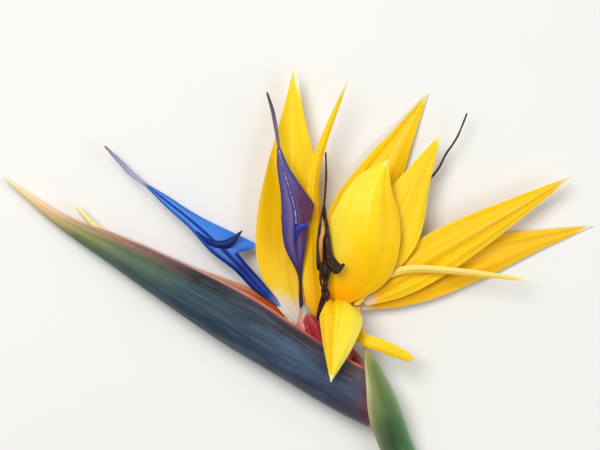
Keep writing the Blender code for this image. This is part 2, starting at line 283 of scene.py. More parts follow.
def stalk_rule():
    """Skins a path with a round, ribbed stalk. Its points carry their radius as "thick"."""
    inputs = [("Sides", "Int", 24), ("Ribs", "Float", 0.0), ("Rib Height", "Float", 0.0)]
    inputs += [("Lumps", "Float", 0.0)]
    rule, given = open_rule("round_stalk", inputs)
    path = first(rule, "GeometryNodeMeshToCurve", {0: given["Geometry"]})
    reach = put(rule, "GeometryNodeSplineParameter")
    rail = put(rule, "GeometryNodeCaptureAttribute", {0: path})
    for label in ("Factor", "Length"):
        rail.capture_items.new("FLOAT", label)
        rule.links.new(reach.outputs[label], rail.inputs[label])
    circle = {"Resolution": given["Sides"], "Radius": 1.0}
    circle = first(rule, "GeometryNodeCurvePrimitiveCircle", circle)
    ring = put(rule, "GeometryNodeCaptureAttribute", {0: circle})
    ring.capture_items.new("VECTOR", "turn")
    place = first(rule, "GeometryNodeInputPosition")
    rule.links.new(place, ring.inputs["turn"])
    tube = {0: rail.outputs[0], 1: ring.outputs[0], "Scale": carried(rule, "thick"), "Fill Caps": True}
    body = first(rule, "GeometryNodeCurveToMesh", tube)
    turn = put(rule, "ShaderNodeSeparateXYZ", {0: ring.outputs["turn"]})
    angle = calc(rule, "ARCTAN2", turn.outputs[1], turn.outputs[0])
    wave = calc(rule, "SINE", times(rule, angle, given["Ribs"]))
    lump = calc(rule, "SUBTRACT", speckle(rule, place, 420.0, 3.0, 0.5), 0.5)
    swell = calc(rule, "ADD", times(rule, wave, given["Rib Height"]), times(rule, lump, given["Lumps"]))
    body = push_out(rule, body, swell)
    long = times(rule, rail.outputs["Length"], 1.0 / MM)
    straight = put(rule, "ShaderNodeCombineXYZ", {0: turn.outputs[0], 1: turn.outputs[1], 2: long})
    for label, kind, value in (
        ("along", "FLOAT", rail.outputs["Factor"]), ("straight", "FLOAT_VECTOR", straight.outputs[0]),
    ):
        store = {"Geometry": body, "Name": label, "Value": value}
        body = first(rule, "GeometryNodeStoreNamedAttribute", store, data_type=kind)
    smoothed = first(rule, "GeometryNodeSetShadeSmooth", {0: body})
    return close_rule(rule, smoothed, given["Skin"])


STALK_RULE = stalk_rule()


def chain(name, places):
    """A row of edges through places in the plan, for a rule to work along."""
    mesh = bpy.data.meshes.new(name)
    links = [(i, i + 1) for i in range(len(places) - 1)]
    mesh.from_pydata(((places + PLAN_MIDDLE) * MM).tolist(), links, [])
    return add(name, mesh)


def stalk(
    name, route, radii, skin, steps=60, sides=24, ribs=0.0, rib_height=0.0, lumps=0.0, blunt=0.0
):
    """A round stalk along a route of places in the plan, with its radius at even steps. Blunt is
    the share of its length that rounds off its far end."""
    t = np.linspace(0.0, 1.0, steps + 1)
    piece = chain(name, smooth(route, t))
    thick = piece.data.attributes.new("thick", "FLOAT", "POINT")
    past = np.clip((t - 1 + blunt) / max(blunt, 0.001), 0.0, 1.0)
    round_end = np.sqrt(np.clip(1.02 - past**2, 0.0, 1.0))
    radius = np.maximum(smooth(radii, t) * round_end, 0.05) * MM
    thick.data.foreach_set("value", radius.astype(np.float32))
    sizes = {"Sides": sides, "Ribs": ribs, "Rib Height": rib_height * MM, "Lumps": lumps * MM}
    return grow(piece, STALK_RULE, {**sizes, "Skin": skin})


def blend(tree, share, under, over, way="MIX"):
    """Lays a colour over another; it may be three numbers, or the output of a node."""
    over = paint(*over) if isinstance(over, tuple) and len(over) == 3 else over
    node = put(tree, "ShaderNodeMix", {0: share, 6: under, 7: over}, data_type="RGBA", blend_type=way)
    return node.outputs[2]


def between(tree, value, low, high, start=0.0, end=1.0):
    """Start below low, end above high, and a smooth step from one to the other."""
    sockets = {"Value": value, 1: low, 2: high, 3: start, 4: end}
    return first(tree, "ShaderNodeMapRange", sockets, interpolation_type="SMOOTHSTEP")


def coats(tree, colour, body, *layers):
    """Lays colours over one another. A layer is (colour, pattern, low, high, start, end): its
    share steps from start to end as the pattern goes from low to high, and is scaled by body."""
    for over, pattern, *steps in layers:
        share = times(tree, between(tree, pattern, *steps), body)
        colour = blend(tree, share, colour, over)
    return colour


def fibres(tree, vector, stretch, scale=1.0, detail=4.0, roughness=0.55, distortion=0.0):
    """Noise that is drawn out along a surface, by a number for each axis of the vector."""
    drawn = first(tree, "ShaderNodeMapping", {"Vector": vector, "Scale": stretch})
    return speckle(tree, drawn, scale, detail, roughness, distortion)


def dress(tree, shader, colour, pattern, roughness, height, strength, depth):
    """Gives a shader its colour, its least and most roughness over a pattern, and a fine relief
    with its depth in millimetres."""
    rough = between(tree, pattern, 0.3, 0.7, *roughness)
    relief = {"Height": height, "Strength": strength, "Distance": depth * MM}
    relief = first(tree, "ShaderNodeBump", relief)
    for socket, value in (("Base Color", colour), ("Roughness", rough), ("Normal", relief)):
        tree.links.new(value, shader.inputs[socket])


def stalk_skin(name, stops, streak_colour, streak_share, roughness, **look):
    """Skin of a round stalk: colours along it, with lengthwise streaks and fine relief."""
    skin, tree, shader = open_skin(name, **look)
    along = put(tree, "ShaderNodeAttribute", attribute_name="along").outputs["Fac"]
    straight = put(tree, "ShaderNodeAttribute", attribute_name="straight").outputs["Vector"]
    streak = fibres(tree, straight, (3.0, 3.0, 0.06), 2.0)
    fleck = fibres(tree, straight, (2.0, 2.0, 0.4), 5.0)
    share = between(tree, streak, 0.42, 0.68, 0.0, streak_share)
    colour = blend(tree, share, ramp(tree, along, stops), streak_colour)
    share = between(tree, fleck, 0.55, 0.8, 0.0, 0.25)
    colour = blend(tree, share, colour, (0.9, 0.9, 0.7, 1.0), "SOFT_LIGHT")
    dress(tree, shader, colour, fleck, (roughness - 0.06, roughness + 0.1), streak, 0.35, 0.25)
    return skin


STEM_STOPS = [
    (0.0, 150, 165, 105), (0.04, 96, 128, 78), (0.5, 92, 130, 88), (0.85, 112, 140, 98),
    (1.0, 150, 110, 95),
]
stem_skin = stalk_skin("stem_green", STEM_STOPS, (62, 96, 66), 0.55, 0.42, flesh=(0.08, 0.002))
fleshy = {"steps": 200, "sides": 72, "ribs": 18.0, "rib_height": 0.07, "lumps": 0.12}
stem = stalk("stem_flesh", STEM_ROUTE, STEM_RADII, stem_skin, **fleshy)
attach(stem, "root")
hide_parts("stem")

STRAND_GAP = 0.75  # at the least, between the ends of two strands
STRAND_DOT = 0.28
MOST_STRANDS = 6.0e6  # to a square metre
CUT_SHARE = 0.86  # of the stem's radius
CUT_PROUD = 0.02


def dotted(rule, given, points, dot, least, most, **turn):
    """Ends a rule in small round dots on points, with sizes at random between least and most."""
    size = put(rule, "FunctionNodeRandomValue", {"Seed": given["Seed"]}, data_type="FLOAT_VECTOR")
    size.inputs[0].default_value = least
    size.inputs[1].default_value = most
    sockets = {0: points, "Instance": dot, "Scale": size.outputs[0], **turn}
    return close_rule(rule, first(rule, "GeometryNodeInstanceOnPoints", sockets), given["Skin"])


def cut_rule():
    """Scatters the ends of the stem's strands over the cut face as small raised dots."""
    inputs = [("Spacing", "Float", 0.3 * MM), ("Dot", "Float", 0.2 * MM), ("Seed", "Int", 4)]
    rule, given = open_rule("strand_ends", inputs)
    face = {"Mesh": given["Geometry"], "Distance Min": given["Spacing"], "Seed": given["Seed"]}
    face["Density Max"] = MOST_STRANDS
    ends = put(rule, "GeometryNodeDistributePointsOnFaces", face, distribute_method="POISSON")
    dot = first(rule, "GeometryNodeMeshIcoSphere", {"Radius": given["Dot"], "Subdivisions": 2})
    turn = {"Rotation": ends.outputs["Rotation"]}
    return dotted(rule, given, ends.outputs[0], dot, (0.5, 0.5, 0.2), (1.1, 1.1, 0.4), **turn)


def cut_face():
    """A disc on the cut end, for the strands to stand on."""
    place, side, up, along = (part[0] for part in frame_at(STEM_ROUTE, np.array([0.0])))
    turns = np.linspace(0.0, 2 * math.pi, 32, endpoint=False)
    reach = CUT_SHARE * STEM_RADII[0]
    spokes = [reach * (math.cos(a) * side + math.sin(a) * up) for a in turns]
    rim = place - along * CUT_PROUD + np.array(spokes)
    mesh = bpy.data.meshes.new("strands")
    mesh.from_pydata(((rim + PLAN_MIDDLE) * MM).tolist(), [], [list(range(len(turns)))])
    return mesh


strand_skin = mottled_skin("strand_ends", 0.5, [(0.3, 96, 92, 50), (0.7, 205, 200, 140)], 900.0)
strands = add("stem_strand_ends", cut_face())
sizes = {"Spacing": STRAND_GAP * MM, "Dot": STRAND_DOT * MM, "Seed": 4, "Skin": strand_skin}
grow(strands, cut_rule(), sizes)
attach(strands, "root")

# The sheath, a green bract wrapped round the stem from a node below. It opens towards the spathe
# and ends in a point, and its two margins are thin, dry and tan.
SHEATH_ACROSS = unit(np.array([0.925, 0.38]))
SHEATH_MIDRIB = [
    (71.5, -149), (59.6, -120.6), (48.3, -93.5), (44.9, -84.4), (42.4, -77.3), (39.5, -70.4),
    (35.7, -63), (31.9, -56.7), (27.6, -51),
]
# At even steps up the sheath: its reach across the plan, the degrees that it wraps to each side,
# half its thickness, and the height of its middle.
SHEATH_REACH = [13.2, 13.6, 13.9, 14.1, 14.2, 12.4, 8.8, 5.2, 1]
SHEATH_OPEN = [172, 170, 164, 145, 124, 112, 98, 84, 60]
SHEATH_HALF = [6.7, 6.8, 7.3, 9.4, 11.3, 11.5, 10.4, 7.5, 2]
SHEATH_HEIGHT = [6.7, 6.8, 7.3, 9.4, 11.3, 11.5, 11.2, 11.2, 11.5]
SHEATH_WALL = 0.9
SHEATH_ROWS, SHEATH_COLUMNS = 161, 73
TABLE_GAP = 0.1  # the least height of any leaf or petal above the table


def shell(name, outer, inner, along, across, skin):
    """A closed thin shell between two equal grids of places, rows along it and columns across.

    Its points carry "along" from 0 to 1, "across" from -1 to 1, and "inside", 1 on the inner side.
    """
    rows, columns = outer.shape[:2]
    places = np.concatenate([outer, inner[:, ::-1]], axis=1)
    wide = 2 * columns
    index = np.arange(rows * wide).reshape(rows, wide)
    following = np.roll(index, -1, axis=1)
    sides = np.stack([index[:-1], following[:-1], following[1:], index[1:]], axis=-1).reshape(-1, 4)
    ends = []
    for row in (index[0], index[-1]):
        near, far = row[:columns], row[: columns - 1 : -1]
        ends.append(np.stack([near[:-1], near[1:], far[1:], far[:-1]], axis=-1))
    mesh = bpy.data.meshes.new(name)
    placed = (places.reshape(-1, 3) + PLAN_MIDDLE) * MM
    placed[:, 2] = np.maximum(placed[:, 2], TABLE_GAP * MM)
    mesh.from_pydata(placed.tolist(), [], np.concatenate([sides, *ends]).tolist())
    values = {
        "along": np.broadcast_to(np.asarray(along)[:, None], (rows, wide)),
        "across": np.broadcast_to(np.concatenate([across, across[::-1]])[None, :], (rows, wide)),
        "inside": np.broadcast_to(np.repeat([0.0, 1.0], columns)[None, :], (rows, wide)),
    }
    for label, value in values.items():
        kept = mesh.attributes.new(label, "FLOAT", "POINT")
        kept.data.foreach_set("value", np.ascontiguousarray(value, np.float32).reshape(-1))
    work = bmesh.new()
    work.from_mesh(mesh)
    bmesh.ops.recalc_face_normals(work, faces=work.faces[:])
    work.to_mesh(mesh)
    work.free()
    return show(name, mesh, skin)


def vein_rule():
    """Raises parallel veins that run the length of a leaf or sepal, and an uneven surface."""
    inputs = [("Veins", "Float", 20.0), ("Vein Height", "Float", 0.05 * MM)]
    inputs += [("Unevenness", "Float", 0.1 * MM), ("Seed", "Float", 0.0)]
    rule, given = open_rule("raised_veins", inputs)
    across, along, inside = (carried(rule, name) for name in ("across", "along", "inside"))
    wander = {0: times(rule, across, 3.0), 1: times(rule, along, 5.0), 2: given["Seed"]}
    wander = first(rule, "ShaderNodeCombineXYZ", wander)
    uneven = calc(rule, "SUBTRACT", speckle(rule, wander, 1.6, 3.0, 0.5), 0.5)
    bent = calc(rule, "MULTIPLY_ADD", uneven, 0.02, across)
    wave = calc(rule, "SINE", times(rule, bent, given["Veins"]))
    edge = calc(rule, "POWER", calc(rule, "ABSOLUTE", across), 6.0)
    ends = times(rule, along, calc(rule, "SUBTRACT", 1.0, along), 4.0)
    fade = times(rule, ends, calc(rule, "SUBTRACT", 1.0, edge))
    both_ways = calc(rule, "MULTIPLY_ADD", inside, -2.0, 1.0)
    swell = times(rule, uneven, fade, given["Unevenness"], both_ways)
    veins = times(rule, wave, fade, given["Vein Height"])
    body = push_out(rule, given["Geometry"], calc(rule, "ADD", veins, swell))
    return close_rule(rule, body, given["Skin"])


VEIN_RULE = vein_rule()


def vein(piece, skin, veins, height, unevenness, seed):
    sizes = {"Veins": veins, "Vein Height": height * MM, "Unevenness": unevenness * MM}
    return grow(piece, VEIN_RULE, {**sizes, "Seed": seed, "Skin": skin})


def read_leaf(tree):
    """A shell's along and across values, how far across it is from its midrib, its inside value,
    and a vector that follows its veins."""
    along, across, inside = (
        put(tree, "ShaderNodeAttribute", attribute_name=label).outputs["Fac"]
        for label in ("along", "across", "inside")
    )
    follow = first(tree, "ShaderNodeCombineXYZ", {0: across, 1: along, 2: inside})
    return along, across, calc(tree, "ABSOLUTE", across), inside, follow


def sheath_skin():
    skin, tree, shader = open_skin("sheath_green", flesh=(0.1, 0.002), wax=(0.12, 0.3))
    along, _, q, inside, follow = read_leaf(tree)
    streak = fibres(tree, follow, (46.0, 4.0, 5.0))
    # across from the midrib at 0 to the margin at 1: the palest green at the midrib is a painted
    # highlight along the sheath's edge, and the tan at the margin is its own dry colour
    face = ramp(tree, q, [
        (0.0, 206, 222, 186), (0.1, 148, 184, 124), (0.35, 112, 150, 86), (0.6, 110, 128, 68),
        (0.85, 140, 148, 80), (0.95, 190, 180, 124), (1.0, 214, 176, 150),
    ])
    low = ramp(tree, q, [
        (0.0, 178, 204, 170), (0.12, 112, 152, 104), (0.35, 70, 108, 64), (0.6, 50, 80, 46),
        (0.85, 92, 112, 72), (1.0, 150, 152, 116),
    ])
    tipped = ramp(tree, along, [(0.9, 168, 188, 116), (1.0, 206, 176, 120)])
    lining = ramp(tree, along, [(0.0, 150, 160, 100), (1.0, 190, 190, 130)])
    worn = [(face, along, 0.3, 0.85), (tipped, along, 0.82, 0.98)]
    colour = coats(tree, low, 1.0, *worn, ((70, 112, 70), streak, 0.48, 0.7, 0.0, 0.35))
    colour = blend(tree, inside, colour, lining)
    colour = coats(tree, colour, 1.0, ((146, 118, 84), along, 0.0, 0.03, 1.0, 0.0))
    dress(tree, shader, colour, streak, (0.34, 0.48), streak, 0.3, 0.2)
    return skin


def sheath():
    t = np.linspace(0.0, 1.0, SHEATH_ROWS)
    turn = np.linspace(-1.0, 1.0, SHEATH_COLUMNS)
    opening = np.radians(smooth(SHEATH_OPEN, t))[:, None]
    semi = smooth(SHEATH_REACH, t)[:, None] / (1 - np.cos(opening))
    half = smooth(SHEATH_HALF, t)[:, None]
    wall = np.minimum(SHEATH_WALL * (1 - 0.75 * np.abs(turn) ** 4)[None, :], 0.35 * semi)
    sides = []
    for shrink in (0.0 * wall, wall):
        reach = semi - (semi - shrink) * np.cos(opening * turn)
        plan = smooth(SHEATH_MIDRIB, t)[:, None] - SHEATH_ACROSS * reach[..., None]
        height = smooth(SHEATH_HEIGHT, t)[:, None] + (half - shrink) * np.sin(opening * turn)
        sides.append(np.concatenate([plan, height[..., None]], axis=-1))
    skin = sheath_skin()
    return vein(shell("sheath_flesh", *sides, t, turn, skin), skin, 70.0, 0.05, 0.3, 3.0)


wrapped_sheath = sheath()
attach(wrapped_sheath, "root")
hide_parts("stem_sheath")

# The spathe, the stiff boat-shaped bract that the flowers rise from. Its keel is below and its
# slit above; the wall is leathery, slate and green outside, with red rims and a pale inside.
KEEL = [
    (28.5, -84.8), (13.4, -77.3), (-8, -64.4), (-33, -49.3), (-57, -33), (-81.1, -16), (-104, 0.5),
    (-125, 19.4),
]
RIM = [
    (30.5, -61), (18.7, -55), (0, -43), (-20, -29.9), (-45, -17.4), (-72, -5.7), (-99, 4.6),
    (-124.9, 20.6),
]
# At even steps from stem to tip: half the thickness, half the slit, how much further the far rim
# stands up, and the height of the whole above the table.
HALF_THICK = [8, 10.2, 11.4, 11.2, 9.6, 7, 3.8, 1]
HALF_SLIT = [4.6, 7.4, 8.6, 6.6, 3.2, 2.8, 1.9, 0.6]
FAR_RIM_LIFT = [0.6, 5.2, 3.6, 2.6, 0, 0, 0, 0]
SPATHE_LIFT = [2.8, 0.5, 0.05, 0.05, 0.05, 0.6, 2, 4.5]
WIDEST = 0.52  # height of the widest place, from keel to rim
SPATHE_WALL = 1.3
SPATHE_ROWS, SPATHE_COLUMNS = 241, 129
# Its colours from the stem to the tip, in four bands: the keel, the flank, below the rim, the rim.
SPATHE_STOPS = [
    [
        (0.0, 128, 64, 58), (0.015, 96, 60, 66), (0.06, 66, 60, 80), (0.15, 56, 58, 78),
        (0.27, 50, 60, 80), (0.4, 48, 64, 84), (0.55, 34, 56, 74), (0.68, 66, 90, 84),
        (0.8, 106, 126, 76), (0.9, 216, 190, 130), (1.0, 246, 236, 180),
    ],
    [
        (0.0, 140, 74, 66), (0.015, 120, 84, 86), (0.06, 76, 72, 92), (0.14, 58, 68, 88),
        (0.27, 66, 86, 112), (0.4, 44, 64, 80), (0.55, 46, 72, 80), (0.68, 86, 112, 74),
        (0.8, 146, 148, 84), (0.9, 230, 188, 140), (1.0, 248, 238, 184),
    ],
    [
        (0.0, 176, 110, 100), (0.05, 110, 96, 100), (0.12, 74, 58, 58), (0.27, 56, 46, 52),
        (0.4, 54, 56, 62), (0.55, 50, 46, 46), (0.68, 146, 108, 86), (0.8, 206, 168, 130),
        (0.9, 246, 210, 174), (1.0, 250, 238, 194),
    ],
    [
        (0.0, 236, 150, 140), (0.09, 226, 120, 112), (0.16, 160, 56, 56), (0.26, 196, 84, 60),
        (0.36, 210, 112, 86), (0.5, 222, 150, 148), (0.72, 238, 184, 172), (0.86, 246, 210, 186),
        (1.0, 250, 240, 200),
    ],
]


def spathe_place(t, v):
    """Outer surface of the spathe: v runs from -1 at the far rim, over the keel, to 1."""
    t, v = np.broadcast_arrays(t, v)
    q = np.abs(v)
    keel, rim = smooth(KEEL, t), smooth(RIM, t)
    plan = keel + (rim - keel) * (q**1.25)[..., None]
    lift = np.where(v < 0, smooth(FAR_RIM_LIFT, t) * q**3, 0.0)
    plan = plan + unit(rim - keel) * lift[..., None]
    half, slit = smooth(HALF_THICK, t), smooth(HALF_SLIT, t)
    low = half * (1 - np.clip(1 - q / WIDEST, 0.0, 1.0) ** 2.2) ** 0.75
    high = half - (half - slit) * ((q - WIDEST) / (1 - WIDEST)) ** 2
    bulge = np.where(q < WIDEST, low, high)
    height = half + smooth(SPATHE_LIFT, t) + np.copysign(bulge, v)
    return np.concatenate([plan, height[..., None]], axis=-1)


def spathe_skin():
    look = {"shine": 0.18, "flesh": (0.04, 0.002), "wax": (0.03, 0.35)}
    skin, tree, shader = open_skin("spathe_slate", **look)
    along, _, q, inside, follow = read_leaf(tree)
    drift = fibres(tree, follow, (2.2, 5.0, 4.0), 1.6, 3.0)
    streak = fibres(tree, follow, (90.0, 4.6, 5.0), 1.0, 5.0, 0.68)
    dash = fibres(tree, follow, (120.0, 14.0, 5.0), 1.0, 3.0, 0.6)
    bloom = fibres(tree, follow, (10.0, 8.0, 4.0), 1.0, 5.0, 0.6, 0.6)
    wavy = calc(tree, "MULTIPLY_ADD", calc(tree, "SUBTRACT", drift, 0.5), 0.22, q)
    wavy = calc(tree, "MULTIPLY_ADD", calc(tree, "SUBTRACT", streak, 0.5), 0.16, wavy)
    low, middle, high, rim = (ramp(tree, along, stops) for stops in SPATHE_STOPS)
    edge = (rim, q, 0.945, 0.985)
    colour = coats(tree, low, 1.0, (middle, wavy, 0.26, 0.48), (high, wavy, 0.66, 0.86), edge)
    body = times(tree, between(tree, along, 0.0, 0.12), between(tree, along, 0.72, 0.95, 1.0, 0.0))
    colour = coats(
        tree, colour, body, ((92, 104, 126), bloom, 0.5, 0.62, 0.0, 0.32),
        ((34, 38, 50), bloom, 0.47, 0.36, 0.0, 0.36), ((30, 38, 46), streak, 0.5, 0.68, 0.0, 0.7),
        ((104, 128, 146), streak, 0.46, 0.3, 0.0, 0.5), ((24, 32, 38), dash, 0.6, 0.72, 0.0, 0.5),
        # pale line along the keel: painted rim light
        ((124, 132, 146), q, 0.0, 0.07, 0.85, 0.0),
    )
    lining = [
        (0.0, 196, 160, 130), (0.6, 210, 150, 120), (0.86, 206, 92, 44), (0.95, 230, 104, 36),
        (0.99, 240, 170, 110),
    ]
    # lining at the near end: its own red flesh, lightened towards the rim as painted light against the
    # shade there
    red_lining_and_painted_light = [(0.0, 170, 120, 100), (0.6, 226, 84, 74), (0.9, 244, 96, 90), (0.97, 252, 196, 184)]
    far = ((222, 180, 150), along, 0.4, 0.6)
    lining, red_lining_and_painted_light = ramp(tree, q, lining), ramp(tree, q, red_lining_and_painted_light)
    colour = blend(tree, inside, colour, coats(tree, red_lining_and_painted_light, 1.0, (lining, along, 0.16, 0.3), far))
    height = calc(tree, "ADD", streak, times(tree, dash, 0.4))
    dress(tree, shader, colour, streak, (0.36, 0.55), height, 0.45, 0.25)
    return skin


def spathe():
    t = np.linspace(0.0, 1.0, SPATHE_ROWS)
    v = np.linspace(-1.0, 1.0, SPATHE_COLUMNS)
    rows, columns = t[:, None], v[None, :]
    outer = spathe_place(rows, columns)
    keel = 0.0 * columns
    ahead = spathe_place(np.minimum(rows + 0.01, 1.0), keel)
    ahead = ahead - spathe_place(np.maximum(rows - 0.01, 0.0), keel)
    up_wall = spathe_place(rows, np.minimum(columns + 0.04, 1.0))
    up_wall = up_wall - spathe_place(rows, np.maximum(columns - 0.04, -1.0))
    room = np.minimum(0.42 * smooth(HALF_SLIT, t), 0.3 * smooth(HALF_THICK, t))
    wall = np.minimum(SPATHE_WALL, room)
    wall = wall[:, None] * (1 - 0.35 * np.abs(columns) ** 8)
    inner = outer + unit(np.cross(ahead, up_wall)) * wall[..., None]
    skin = spathe_skin()
    return vein(shell("spathe_flesh", outer, inner, t, v, skin), skin, 120.0, 0.05, 0.5, 1.0)


boat = spathe()
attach(boat, "root")
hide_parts("spathe")

# The flower bases, four soft stalks inside the spathe, from the head of the stem up to the throat
# where the sepals and petals part. They are pale at the throat and pink where they crowd.
BASE_ROUTES = (
    [(21.3, -70.1, 7.1), (10, -60.5, 6.2), (-1, -48.5, 6.4), (-5.2, -34.4, 5)],
    [(20.1, -71.7, 11.9), (9.5, -64, 12.4), (2.4, -50, 13), (2.6, -33, 13)],
    [(22.5, -68.5, 13.8), (13.5, -59, 12.6), (11.8, -45.5, 11.2), (15.4, -31.8, 10.6)],
    [(22.7, -66.6, 9.8), (19.5, -57.5, 9.2), (20.2, -45, 9), (24.2, -33.6, 9.6)],
)
BASE_RADII = ([1.9, 2.4, 2.8, 2.2], [1.9, 2.8, 4.4, 2.1], [1.9, 2.6, 3.4, 2.8], [1.9, 2.3, 2.8, 2.4])
BASE_COLOURS = (
    [(0.0, 214, 150, 130), (0.5, 232, 214, 190), (1.0, 240, 236, 220)],
    [
        (0.0, 190, 60, 60), (0.6, 176, 56, 62), (0.74, 206, 92, 96), (0.84, 222, 150, 146),
        (0.91, 176, 176, 150), (1.0, 150, 158, 130),
    ],
    [(0.0, 176, 40, 36), (0.6, 196, 40, 36), (0.85, 214, 96, 60), (1.0, 240, 176, 70)],
    [(0.0, 190, 60, 50), (0.6, 204, 66, 52), (1.0, 238, 190, 90)],
)
SOFT = {"flesh": (0.15, 0.003), "wax": (0.2, 0.25)}
fleshy = {"steps": 90, "sides": 40, "ribs": 6.0, "rib_height": 0.1, "lumps": 0.5, "blunt": 0.07}
for number, (route, radii, stops) in enumerate(zip(BASE_ROUTES, BASE_RADII, BASE_COLOURS), 1):
    label = f"flower_base_{number}_flesh"
    base_skin = stalk_skin(label, stops, (235, 170, 150), 0.3, 0.4, **SOFT)
    base = stalk(label, route, radii, base_skin, **fleshy)
    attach(base, "root")
    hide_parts(f"flower_base_{number}")

# The sepals, the waxy yellow blades that make the fan: three to a flower, broad or narrow and
# keeled, each one grown from its flower base and free for the rest of its length.
SEPAL_THICK, SEPAL_EDGE = 0.9, 0.3
BLADE_BASE, BLADE_TIP = 0.035, 0.94  # where along a blade its round base ends and its tip starts
HOOK_FROM = 0.93  # where along a blade its tip starts to turn up
WAVES = 2.2  # along each margin


def rounded(share):
    """Half widths near a round end, from 0 there to 1 where the share of the end runs out."""
    return np.sqrt(np.clip(1 - (1 - np.clip(share, 0.0, 1.0)) ** 2, 0.01, 1.0))


def blade(
    name, route, half_widths, cup, fold, skin, thick=SEPAL_THICK, creases=(), wave=0.3, hook=0.0,
    steps=110, strips=36,
):
    """A sepal or bract. Cup is how far the margins drop for each unit of half width, fold is 1
    for a sharp keel, and creases are (place across, breadth, height) of lengthwise folds."""
    t = np.linspace(0.0, 1.0, steps + 1)
    a = np.sin(np.linspace(-0.5, 0.5, strips + 1) * math.pi)
    place, side, up, _ = (part[:, None] for part in frame_at(route, t))
    past_tip = np.clip((t - BLADE_TIP) / (1 - BLADE_TIP), 0.0, 1.0)
    round_tip = np.sqrt(np.clip(1 - past_tip**2, 0.0, 1.0))
    half = np.maximum(smooth(half_widths, t) * rounded(t / BLADE_BASE) * round_tip, 0.25)[:, None]
    rows, columns = t[:, None], a[None, :]
    rise = -smooth(cup, t)[:, None] * half * np.abs(columns) ** fold
    body = np.sin(math.pi * np.clip(rows, 0.02, 1.0)) ** 0.6
    for where, breadth, height in creases:
        rise = rise + height * body * np.exp(-(((columns - where) / breadth) ** 2))
    phase = len(name) + 2.1 * np.sign(columns)
    rise = rise + wave * body * np.abs(columns) ** 3 * np.sin(2 * math.pi * WAVES * rows + phase)
    rise = rise + hook * np.clip((rows - HOOK_FROM) / (1 - HOOK_FROM), 0.0, 1.0) ** 2
    middle = place + side * (half * columns)[..., None] + up * rise[..., None]
    depth = 0.5 * (thick - (thick - SEPAL_EDGE) * columns**2)
    depth = up * (depth * np.sqrt(np.clip(1.04 - rows**10, 0.0, 1.0)))[..., None]
    return shell(name, middle + depth, middle - depth, t, a, skin)


def sepal_skin(name, pale, base, low, middle, high, tip, painted_highlight, shade):
    """Waxy yellow flesh: colours from base to tip, with a painted highlight on one side and painted
    shade on the other. Pale is the share of its length that keeps the colour of the base."""
    skin, tree, shader = open_skin(name, shine=0.15, flesh=(0.2, 0.0022), wax=(0.04, 0.3))
    shader.inputs["Subsurface Radius"].default_value = (1.0, 0.6, 0.05)
    along, across, q, _, follow = read_leaf(tree)
    streak = fibres(tree, follow, (22.0, 2.2, 3.0), 1.0, 5.0, 0.6)
    cloud = fibres(tree, follow, (1.6, 3.2, 3.0), 1.5, 3.0)
    slant = calc(tree, "MULTIPLY_ADD", across, 0.35 * pale, along)
    stops = [(0.0, *base), (0.72 * pale, *base), (pale + 0.03, *low), (0.42, *middle)]
    stops += [(0.8, *high), (0.945, *high), (0.985, *tip)]
    past_base = between(tree, along, 0.04 + 0.7 * pale, 0.2 + pale)
    body = times(tree, past_base, between(tree, along, 0.85, 1.0, 1.0, 0.0))
    # painted highlight on one side of the blade and painted shade on the other, split across it with a
    # little noise
    lean = calc(tree, "MULTIPLY_ADD", cloud, 0.7, across)
    colour = coats(
        tree, ramp(tree, slant, stops), body, (painted_highlight, lean, 0.5, -0.7, 0.0, 0.75),
        (shade, lean, 0.35, 1.3, 0.0, 0.7), ((240, 158, 0), streak, 0.5, 0.74, 0.0, 0.36),
        ((255, 222, 56), streak, 0.45, 0.25, 0.0, 0.3),
    )
    # pale line along the midrib: partly its own pale colour, partly a painted highlight
    pale_midrib_and_highlight = ((255, 236, 130), q, 0.0, 0.07, 0.45, 0.0)
    colour = coats(tree, colour, between(tree, along, 0.3, 0.8), pale_midrib_and_highlight)
    colour = coats(tree, colour, 1.0, ((255, 232, 120), q, 0.94, 1.0, 0.0, 0.35))
    dress(tree, shader, colour, streak, (0.36, 0.5), streak, 0.3, 0.18)
    return skin
